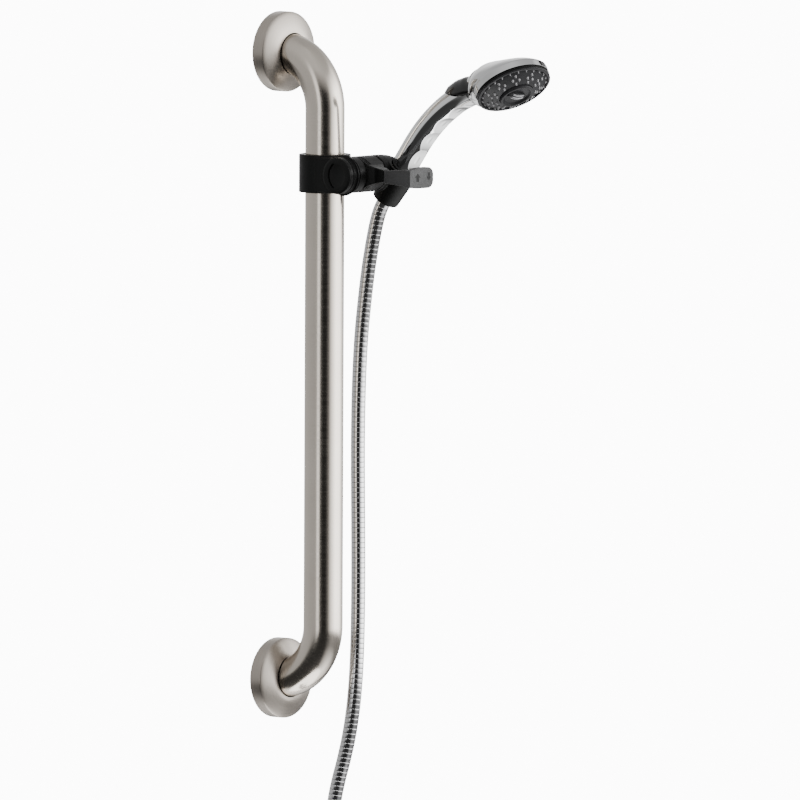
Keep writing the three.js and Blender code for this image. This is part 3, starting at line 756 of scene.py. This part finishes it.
# ---- Cradle ----
def make_cradle():
    """The tilting end of the barrel and the tapered cup with a slot for the hose."""
    hub = lathe("cradle_cup", rounded([
        (0, 28.5), (BARREL_RADIUS, 28.5, 0.5), (BARREL_RADIUS, 38), (17.5, 43), (16.8, 49),
        (15.6, 54), (13.8, 58.5), (11.3, 62), (8, 64.4), (4.2, 65.6), (0, 66),
    ]), BARREL, 128, False)
    cup = lathe("cup", [(0, 0), (13.4, 0), (16.5, 40), (0, 40)], SOCKET, 96, False)
    cavity = lathe("cavity", [
        (0, -30), (10.2, -30), (10.2, 0), (13.3, 40), (16.3, 80), (0, 80),
    ], SOCKET, 96, False)
    gate = block("gate", (0, -7.5, -40), (40, 7.5, 84), SOCKET)
    insert = drum("insert", 8.3, 23.5, 37, BARREL, 48)
    return moulded(combine(
        hub, ("UNION", cup), ("DIFFERENCE", cavity), ("DIFFERENCE", gate), ("DIFFERENCE", insert),
    ), 0.42, 8)


dress(make_cradle(), "cradle", "black_plastic", BLACK, "cradle")


# ---- Handset: a straight handle that bends forwards, up to the seam under the head ----
STRAIGHT, BEND, SEAM, HANDLE_RADIUS = 65.0, 160.0, 36.0, 13.0
SEAM_S = STRAIGHT + math.radians(SEAM) * BEND
HANDLE_START, HANDLE_BORE = 34.3, 10.6
CUSP, FIRST_CUSP = 27.0, 70.5  # the finger facets' length, and where one of them starts


def spine(s, out=0.0):
    """A point s along the handle's centre line, and out to the side of its back."""
    if s <= STRAIGHT:
        return Vector((0, out, s))
    a = (s - STRAIGHT) / BEND
    return Vector((0, -BEND + (BEND + out) * math.cos(a), STRAIGHT + (BEND + out) * math.sin(a)))


def ring_round(s, radius, sides=160):
    """A ring of points round the handle's centre line. radius(angle) is its radius."""
    centre = spine(s)
    lean = max(0.0, s - STRAIGHT) / BEND
    out = Vector((0, math.cos(lean), math.sin(lean)))
    row = []
    for j in range(sides):
        a = 2 * math.pi * j / sides
        r = radius(a)
        row.append(tuple(centre + ACROSS * (r * math.cos(a)) + out * (r * math.sin(a))))
    return row


def make_handle():
    """A hollow handle, its front cut by a row of shallow finger facets."""
    count = 220
    stations = [HANDLE_START + (SEAM_S - HANDLE_START) * i / count for i in range(count + 1)]
    grid = []
    for s in stations:
        base = 12.2 + 0.8 * smoothstep((s - HANDLE_START) / 14)
        share = ((s - FIRST_CUSP) / CUSP) % 1.0
        cut = 12.5 - 2.2 * math.sin(math.pi * share) ** 0.85
        cut += 2.5 * (1 - smoothstep((s - 40) / 8)) + 2.5 * (1 - smoothstep((SEAM_S - 5 - s) / 6))
        grid.append(ring_round(s, lambda a: min(base, cut / max(-math.sin(a), 0.01))))
    for s in reversed(stations[::6]):
        grid.append(ring_round(s, lambda a: HANDLE_BORE))
    return surface("handle", grid, True, False, HANDSET, (0.0008, 0.001), 50)


# The head's rim, the height of its lip and the height at which its side wall turns inwards.
RIM_RADIUS, RIM, SIDE_WALL = 37.8, 4.0, 11.5
SHELL_THICKNESS = 2.4


def catmull_rom(p, q, v, w, t):
    """A smooth step from q to v, at the share t; p and w are the values on either side."""
    return 0.5 * (2 * q + (v - p) * t + (2 * p - 5 * q + 4 * v - w) * t * t
                  + (3 * q - p - 3 * v + w) * t ** 3)


def head_ring(ring, shrink, sides=128):
    """A ring of the head's loft, from its near point, its far point and half its width."""
    n0, n1, f0, f1, half = ring
    half2 = half - shrink
    k = half2 / half
    mid = ((n0 + f0) / 2, (n1 + f1) / 2)
    row = []
    for j in range(sides):
        a = 2 * math.pi * j / sides
        t = (n0 - f0) / 2 * math.cos(a) * k + mid[0]
        s = (n1 - f1) / 2 * math.cos(a) * k + mid[1]
        row.append((half2 * math.sin(a), -t, -s))
    return row


def make_head():
    """A hollow loft from the rim, over the head's back, down to the end of the handle."""
    to_head = HEAD_IN_HANDSET.inverted()

    def joint(out):
        p = to_head @ spine(SEAM_S, out)
        return (-p.y, -p.z)

    r = RIM_RADIUS
    keys = [
        ((r, RIM), (-r, RIM), r),
        ((r, SIDE_WALL - 2), (-r, SIDE_WALL - 2), r),
        ((r + 0.6, SIDE_WALL - 1), (-r + 1.8, SIDE_WALL + 1), r - 0.6),
        ((r + 3.2, SIDE_WALL - 1), (-27, SIDE_WALL + 8), 36),
        ((r + 5.4, SIDE_WALL - 0.9), (-9, SIDE_WALL + 18), 33),
        ((r + 8, SIDE_WALL - 0.5), (8, SIDE_WALL + 27), 27),
        ((r + 10.5, SIDE_WALL + 1.3), (24, SIDE_WALL + 32.2), 15.5),
        ((r + 12.6, SIDE_WALL + 5.1), (34.6, SIDE_WALL + 35.1), 13.2),
        (joint(-HANDLE_RADIUS), joint(HANDLE_RADIUS), HANDLE_RADIUS),
    ]
    flat = [(*near, *far, half) for near, far, half in keys]
    rings = [(r - 0.5, RIM, 0.5 - r, RIM, r - 0.5), flat[0]]
    steps = 8
    for i in range(1, len(flat)):
        a, b, c, d = flat[max(i - 2, 0)], flat[i - 1], flat[i], flat[min(i + 1, len(flat) - 1)]
        for k in range(1, steps + 1):
            t = k / steps
            if i == 1:
                rings.append(tuple(p + (q - p) * t for p, q in zip(b, c)))
                continue
            rings.append(tuple(catmull_rom(p, q, v, w, t) for p, q, v, w in zip(a, b, c, d)))
    grid = [head_ring(ring, 0.0) for ring in rings]
    grid += [head_ring(ring, SHELL_THICKNESS) for ring in reversed(rings[::4] + [rings[-1]])]
    return surface("head", grid, True, False, HEAD, (0.0018, 0.001), 42)


def split_at_seam():
    """The shell ends on a plane across the face; the neck below it belongs to the handle."""
    seam, gap = -36.6, 0.25
    beyond = block("keep", (-60, seam + gap, -80), (60, 60, 20), HEAD)
    shell = combine(make_head(), ("INTERSECT", beyond))
    below = block("keep", (-60, -90, -80), (60, seam - gap, 20), HEAD)
    neck = combine(make_head(), ("INTERSECT", below))
    return shell, neck


head, neck = split_at_seam()
dress(head, "handset", "chromed_plastic", SHADED_SHELL_PLATING, "head_shell")
dress(join("handle", [make_handle(), neck]), "handset", "chromed_plastic", PLATING, "handle_shell")


CATCH = HEAD @ rot(-19, "Z")  # the catch stands a little beside the middle of the rim's end
CATCH_ROWS = (  # height, half width, and how far it stands out of the rim
    (-10.2, 5.2, -0.8), (-9.8, 5.0, 0.6), (-7.6, 4.2, 0.9), (-5, 2.6, 0.6), (-4.4, 2.2, -0.6),
)


def make_catch():
    """The small dark catch on the rim, at the end of the head away from the handle."""
    rows = []
    for z, wide, grow in CATCH_ROWS:
        turns = [math.radians(90) - wide * (i - 4) / 4 / RIM_RADIUS for i in range(9)]
        r = RIM_RADIUS + grow
        outer = [(r * math.cos(a), r * math.sin(a), z) for a in turns]
        rows.append(outer + [(x * 0.96, y * 0.96, z) for x, y, _ in reversed(outer)])
    return surface("head_catch", rows, False, True, CATCH, sharp=50)


dress(make_catch(), "handset", "gloss_black", GLOSS)


# The thumb saddle, from and to an angle of the handle's bend, and its height along its length.
SADDLE = (23.4, 38.9)
LIFTS = [
    (0, 0), (0.09, 2.0), (0.22, 3.4), (0.45, 3.9), (0.68, 3.1), (0.86, 1.3), (0.93, 1.5), (1, 2.2),
]


def saddle_lift(t):
    """How far the thumb saddle stands off the handle, at a share of its length."""
    for (t0, a), (t1, b) in zip(LIFTS, LIFTS[1:]):
        if t <= t1:
            return a + (b - a) * smoothstep((t - t0) / (t1 - t0))
    return LIFTS[-1][1]


def make_button():
    """A thumb saddle on the handle's back: a hump that dips before it meets the head."""
    rows_count, columns = 36, 45
    outer, inner = [], []
    for i in range(rows_count + 1):
        t = i / rows_count
        reach = 16 + 97 * math.sin(math.pi / 2 * min(1.0, t * 1.5)) ** 0.8
        top, low = [], []
        for j in range(columns):
            q = (j / (columns - 1) - 0.5) * 2
            a = math.radians(90 + reach * q)
            crown = math.cos(q * math.pi / 2)
            theta = SADDLE[0] + (SADDLE[1] + 2.0 * (1 - math.sin(a)) - SADDLE[0]) * t
            lean = math.radians(theta)
            centre = spine(STRAIGHT + lean * BEND)
            out = Vector((0, math.cos(lean), math.sin(lean)))
            edge = 1 - smoothstep((abs(q) - 0.93) / 0.07)
            lift = (0.35 + saddle_lift(t) * crown ** 0.8) * edge
            r = HANDLE_RADIUS + lift - 0.35 * (1 - edge)
            for row, radius in ((top, r), (low, 11.0)):
                side = ACROSS * (radius * math.cos(a))
                row.append(tuple(centre + side + out * (radius * math.sin(a))))
        outer.append(top)
        inner.append(low)
    rows = [a + list(reversed(b)) for a, b in zip(outer, inner)]
    return surface("pause_saddle", rows, False, True, HANDSET, sharp=55)


dress(make_button(), "pause", "gloss_black", GLOSS, "pause_button")

# ---- Spray face, in the head's frame: heights are from the face's lip ----
# The bezel ring between the shell's rim and the spray plate is a real part; its black colour is
# painted shade in the gap.
dress(lathe("face_gap_shade_ring", rounded([
    (35.3, -3.7), (36.6, -3.7, 0.2), (36.6, -1.9, 0.2), (35.3, -1.9),
]), HEAD, 128), "handset", "black_plastic", BLACK, "bezel_ring")


def dome(r, under=0.0):
    """The height of the bulging spray plate at a radius, or of a surface under it."""
    return 8.2 - 0.0082 * r * r - under


def make_face():
    """The grey spray plate: a rim, a groove inside it and a shallow dome with a hole."""
    profile = [
        (30.9, -6), (35, -6), (35, -1.6), (36.6, -1.6, 0.3), (37.4, -0.9, 0.5), (36.9, 0.1, 0.5),
        (34.6, 0.5, 0.5), (33.9, -1.3, 0.3), (33.0, -1.6, 0.3), (32.3, dome(32.3), 0.4),
        (30, dome(30)), (28, dome(28)), (26, dome(26)), (24, dome(24)), (22, dome(22)),
        (20, dome(20)), (18.5, dome(18.5)), (17.3, dome(17.3), 0.3), (17.3, dome(17.3, 1.8)),
        (24, dome(24, 1.8)), (30.9, dome(30.9, 1.8)),
    ]
    return lathe("spray_plate", rounded(profile), HEAD, 128)


dress(make_face(), "handset", "face_plastic", FACE, "face_plate")


NOZZLE_GROUP = ((20.4, 0.02), (24.2, -0.13), (25.0, 0.13), (28.8, 0.0))  # radius, turn
NOZZLE_SHAPE = (  # radius and height, for a nozzle of size 1
    (1.7, 0.25), (1.4, 0.8), (1.2, 1.6), (1.05, 2.2), (0.8, 2.55), (0.45, 2.6), (0.4, 2.2), (0, 2.1),
)
GROUP_SIZE, RIM_SIZE = 0.72, 0.55


def make_nozzles():
    """Ten groups of four nozzles, and a ring of 24 smaller ones at the rim."""
    spots = []
    for i in range(10):
        turn = math.radians(36 * i + 18)
        spots += [(r, turn + a, GROUP_SIZE) for r, a in NOZZLE_GROUP]
    spots += [(32.4, math.radians(15 * i), RIM_SIZE) for i in range(24)]
    shells = []
    for r, a, size in spots:
        z = dome(r)
        profile = [(0, z - 1.0), (1.75 * size, z - 1.0)]
        profile += [(wide * size, z + high * size) for wide, high in NOZZLE_SHAPE]
        place = HEAD @ shift(r * math.cos(a), r * math.sin(a), 0)
        shells.append(lathe("nozzle", profile, place, 14, False, sharp=60))
    return join("spray_nozzles", shells)


dress(make_nozzles(), "handset", "nozzle_rubber", NOZZLE, "nozzle_mat")


def make_tab():
    """The thumb tab: a low hood over the selector."""
    rows = []
    for i in range(15):
        t = i / 14
        x = -10.5 + 21 * t
        rise = 4.6 * math.sin(math.pi * min(1.0, 0.12 + 0.86 * t)) ** 0.6
        half = 3.6 * math.sin(math.pi * (0.1 + 0.8 * t)) ** 0.5
        row = []
        for j in range(13):
            a = math.pi * j / 12
            row.append((x, half * math.cos(a), 5.2 + rise * math.sin(a) ** 0.8))
        rows.append(row + [(x, 0, 4.6)])
    return surface("tab", rows, False, True, HEAD, sharp=45)


def make_hub():
    """The spray selector: a dished disc on a stem, and its tab."""
    hub = lathe("spray_selector", rounded([
        (0, 3), (2.9, 3), (2.9, -7.5), (8, -7.5), (8, 1), (16.8, 3.6), (17.0, 7.4, 0.6),
        (16.2, 8.6, 0.6), (14.4, 8.5, 0.7), (12.6, 6.4, 0.8), (8, 5.6), (0, 5.4),
    ]), HEAD, 128, False)
    return join("spray_selector", [hub, make_tab()])


def make_fins():
    """Three fins along the tab, in a light grey that is a painted highlight on its ridges."""
    wide, foot, edge = 0.55, 7.5, 0.3
    shells = []
    for y, high in ((-2.3, 9.7), (0.0, 10.6), (2.3, 9.7)):
        rows = []
        for i in range(13):
            t = i / 12
            x = -6.5 + 14 * t
            rise = high - 1.6 * (2 * t - 0.9) ** 2
            rows.append([
                (x, y - wide, foot), (x, y - wide, rise - edge), (x, y - 0.25, rise),
                (x, y + 0.25, rise), (x, y + wide, rise - edge), (x, y + wide, foot),
            ])
        shells.append(surface("fin", rows, False, True, HEAD, sharp=40))
    return join("selector_fins", shells)


dress(make_hub(), "selector", "face_plastic", FACE, "selector_hub")
# The fins' light grey is a painted highlight along the tab's real ridges.
dress(make_fins(), "selector", "nozzle_rubber", NOZZLE)

# ---- Nut and sleeve at the handset's end ----
dress(lathe("hose_nut_cone", rounded([
    (8, 3), (9.6, 3, 0.5), (9.8, 6), (12.3, 33.2, 0.5), (11.9, 34, 0.3), (10.75, 34), (10.75, 14),
    (8, 14),
]), HANDSET, 144, True, grips(18, 0.04, 6, 30)), "nut", "chrome", CHROME, "hose_nut")

# ---- CAD nodes that stay, with better materials ----
KEPT = {
    STEEL: ("wall_plate_upper", "wall_plate_lower", "brake_spring", "pivot_bolt", "lever_spring",
            "pause_plunger", "pause_spring", "centre_screw"),
    WHITE: ("slide_liner", "water_tube", "check_valve", "diverter_plate", "massage_wheel"),
    RUBBER: ("brake_shoe", "tilt_washer", "inlet_washer", "face_seal", "far_washer"),
    BRASS: ("hub_insert", "inlet_nipple"),
    CHROME: ("hose_sleeve",),
    BLACK: ("flow_disc",),
}
for material, names in KEPT.items():
    for name in names:
        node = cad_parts[name]
        node.data.materials.clear()
        node.data.materials.append(material)


# ---- Floor and light ----
FLOOR_RADIUS = 0.42
FLOOR_FRONT = 0.1
FLOOR_DROP = 0.45  # the set hangs on a wall, and its holder slides 0.41 m down
FLOOR_GLOW = 4.0
STUDIO_STRENGTH, BACKDROP_STRENGTH = 6.0, 12.0
MIX_A, MIX_B, MIX_RESULT = 6, 7, 2  # a Mix node's sockets for colours
# The light round the object: each stop is (degrees to the right of the first view, brightness).
STUDIO = [
    (-179, 0.30), (-150, 0.13), (-60, 0.11), (-44, 0.11), (-38, 0.36), (-28, 0.36), (-22, 0.03),
    (-6, 0.004), (14, 0.004), (30, 0.05), (55, 0.55), (75, 1.0), (105, 0.9), (130, 0.25),
    (160, 0.12), (179, 0.30),
]
UNDER = [
    (-179, 0.3), (-105, 0.25), (-86, 0.01), (20, 0.01), (55, 0.25), (90, 0.5), (179, 0.3),
]
SKY = [
    (-179, 0.10), (-90, 0.13), (0, 0.16), (60, 0.13), (179, 0.10),
]
DUSK = [
    (-179, 0.06), (-100, 0.06), (-84, 0.008), (25, 0.006), (60, 0.07), (120, 0.05), (179, 0.06),
]


def make_floor():
    """A pale disc below the set."""
    z = cad_box[0].z - FLOOR_DROP
    points = [(x, y - FLOOR_FRONT, z) for x, y in arc(0, 0, FLOOR_RADIUS, 0, 360, 96)[:-1]]
    mesh = bpy.data.meshes.new("floor")
    mesh.from_pydata(points, [], [tuple(range(len(points)))])
    floor = bpy.data.objects.new("floor", mesh)
    SCENE.objects.link(floor)
    shader = Shader("floor", (0.9, 0.9, 0.9), 0.7)
    shader.main.inputs["Emission Color"].default_value = (1, 1, 1, 1)
    shader.main.inputs["Emission Strength"].default_value = FLOOR_GLOW
    shader.spread(shader.noise(3.0), 0.65, 0.75, "Roughness")
    mesh.materials.append(shader.material)


make_floor()


def make_world():
    """A studio round the object: four bands of light, one above the other, and a plain backdrop."""
    world = bpy.data.worlds.new("studio")
    bpy.context.scene.world = world
    world.use_nodes = True
    tree = world.node_tree
    tree.nodes.clear()

    def node(kind, **settings):
        made = tree.nodes.new(kind)
        for key, value in settings.items():
            setattr(made, key, value)
        return made

    def math_node(operation, a, b):
        made = node("ShaderNodeMath", operation=operation)
        for socket, value in zip(made.inputs, (a, b)):
            if isinstance(value, float):
                socket.default_value = value
            else:
                tree.links.new(value, socket)
        return made.outputs[0]

    direction = node("ShaderNodeTexCoord").outputs["Generated"]
    split = node("ShaderNodeSeparateXYZ")
    tree.links.new(direction, split.inputs[0])
    x, y, z = split.outputs
    azimuth = math_node("ARCTAN2", y, x)
    start = math.atan2(BACK.y, BACK.x)
    turn = math_node("WRAP", math_node("SUBTRACT", azimuth, start), math.pi)
    turn.node.inputs[2].default_value = -math.pi
    share = math_node("ADD", math_node("MULTIPLY", turn, 0.5 / math.pi), 0.5)

    def around(stops):
        """A band's light by direction round the object."""
        ramp = node("ShaderNodeValToRGB")
        tree.links.new(share, ramp.inputs["Fac"])
        for i, (angle, bright) in enumerate(stops):
            at = 0.5 + angle / 360
            element = ramp.color_ramp.elements[i] if i < 2 else ramp.color_ramp.elements.new(at)
            element.position = at
            element.color = (bright, bright, bright, 1)
        return ramp.outputs["Color"]

    def blended(low, high, below, over):
        """One light below and another above, blended between two heights of the direction."""
        height = node("ShaderNodeMapRange")
        height.inputs["From Min"].default_value = low
        height.inputs["From Max"].default_value = high
        tree.links.new(z, height.inputs["Value"])
        mix = node("ShaderNodeMix", data_type="RGBA")
        tree.links.new(height.outputs["Result"], mix.inputs["Factor"])
        tree.links.new(below, mix.inputs[MIX_A])
        tree.links.new(over, mix.inputs[MIX_B])
        return mix.outputs[MIX_RESULT]

    low = blended(-0.86, -0.5, around(UNDER), around(DUSK))
    level = blended(-0.24, -0.14, low, around(STUDIO))
    everything = blended(0.3, 0.7, level, around(SKY))
    studio = node("ShaderNodeBackground")
    studio.inputs["Strength"].default_value = STUDIO_STRENGTH
    tree.links.new(everything, studio.inputs["Color"])
    plain = node("ShaderNodeBackground")
    plain.inputs["Color"].default_value = (1, 1, 1, 1)
    plain.inputs["Strength"].default_value = BACKDROP_STRENGTH
    pick = node("ShaderNodeMixShader")
    tree.links.new(node("ShaderNodeLightPath").outputs["Is Camera Ray"], pick.inputs[0])
    tree.links.new(studio.outputs[0], pick.inputs[1])
    tree.links.new(plain.outputs[0], pick.inputs[2])
    out = node("ShaderNodeOutputWorld")
    tree.links.new(pick.outputs[0], out.inputs["Surface"])


make_world()
